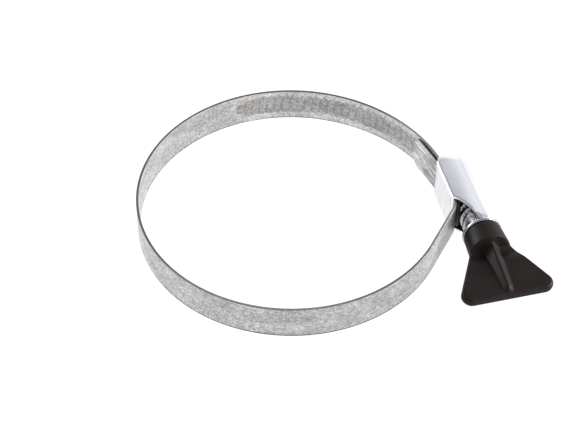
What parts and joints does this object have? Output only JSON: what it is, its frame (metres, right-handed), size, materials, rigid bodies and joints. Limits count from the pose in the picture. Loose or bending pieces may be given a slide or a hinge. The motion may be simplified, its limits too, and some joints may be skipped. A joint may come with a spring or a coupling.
{
  "type": "hose clamp",
  "caption": "Worm-drive hose clamp: a galvanised steel band closed by a screw in an arched housing, tightened by hand with a black wing handle.",
  "frame": {"origin": "centre of the clamped hose circle, halfway across the band's width", "axes": "+Z along the hose; +X from the hose centre towards the housing; the screw runs along Y, its wing handle towards -Y"},
  "size_m": [0.1214, 0.1045, 0.0146],
  "materials": {
    "band_steel": "galvanised, fine matt spangle",
    "housing_steel": "bright zinc plate",
    "screw_steel": "bright zinc plate",
    "handle_plastic": "black moulded plastic, satin"
  },
  "bodies": {
    "housing": {"clamp_housing": "housing_steel", "band_fixed_end": "band_steel"},
    "screw": {"worm_screw": "screw_steel", "wing_handle": "handle_plastic"},
    "tongue": {"band_tongue": "band_steel"},
    "flex_1": {"band_flex_1": "band_steel"},
    "flex_2": {"band_flex_2": "band_steel"},
    "flex_3": {"band_flex_3": "band_steel"},
    "flex_4": {"band_flex_4": "band_steel"},
    "free_end": {"band_free_end": "band_steel"}
  },
  "joints": [
    {"name": "screw_turn", "type": "hinge", "parent": "housing", "child": "screw", "pos_m": [0.05644, 0, 0], "axis": [0, 1, 0], "range_deg": [-360, 1080]},
    {"name": "flex_1_bend", "type": "hinge", "parent": "housing", "child": "flex_1", "pos_m": [0.0369, -0.03322, 0], "axis": [0, 0, 1], "range_deg": [-1.16, 3.44]},
    {"name": "flex_2_bend", "type": "hinge", "parent": "flex_1", "child": "flex_2", "pos_m": [-0.01032, -0.04856, 0], "axis": [0, 0, 1], "range_deg": [-2.05, 0.69]},
    {"name": "flex_3_bend", "type": "hinge", "parent": "flex_2", "child": "flex_3", "pos_m": [-0.04666, -0.01698, 0], "axis": [0, 0, 1], "range_deg": [-3.81, 1.28]},
    {"name": "flex_4_bend", "type": "hinge", "parent": "flex_3", "child": "flex_4", "pos_m": [0.04991, 0.01099, 0], "axis": [0, 0, 1], "range_deg": [-7.85, 2.63]},
    {"name": "free_end_bend", "type": "hinge", "parent": "flex_4", "child": "free_end", "pos_m": [0.05145, 0.0036, 0], "axis": [0, 0, 1], "range_deg": [-3.43, 10.25]},
    {"name": "tongue_bend", "type": "hinge", "parent": "housing", "child": "tongue", "pos_m": [0.05055, 0.00095, 0], "axis": [0, 0, 1], "range_deg": [-2.51, 7.51]}
  ],
  "couplings": [
    {"joint": "flex_1_bend", "follows": "screw_turn", "ratio": 0.0031713},
    {"joint": "flex_2_bend", "follows": "screw_turn", "ratio": -0.0018871},
    {"joint": "flex_3_bend", "follows": "screw_turn", "ratio": -0.0035145},
    {"joint": "flex_4_bend", "follows": "screw_turn", "ratio": -0.0072528},
    {"joint": "free_end_bend", "follows": "screw_turn", "ratio": 0.0094795},
    {"joint": "tongue_bend", "follows": "screw_turn", "ratio": 0.0069417}
  ]
}
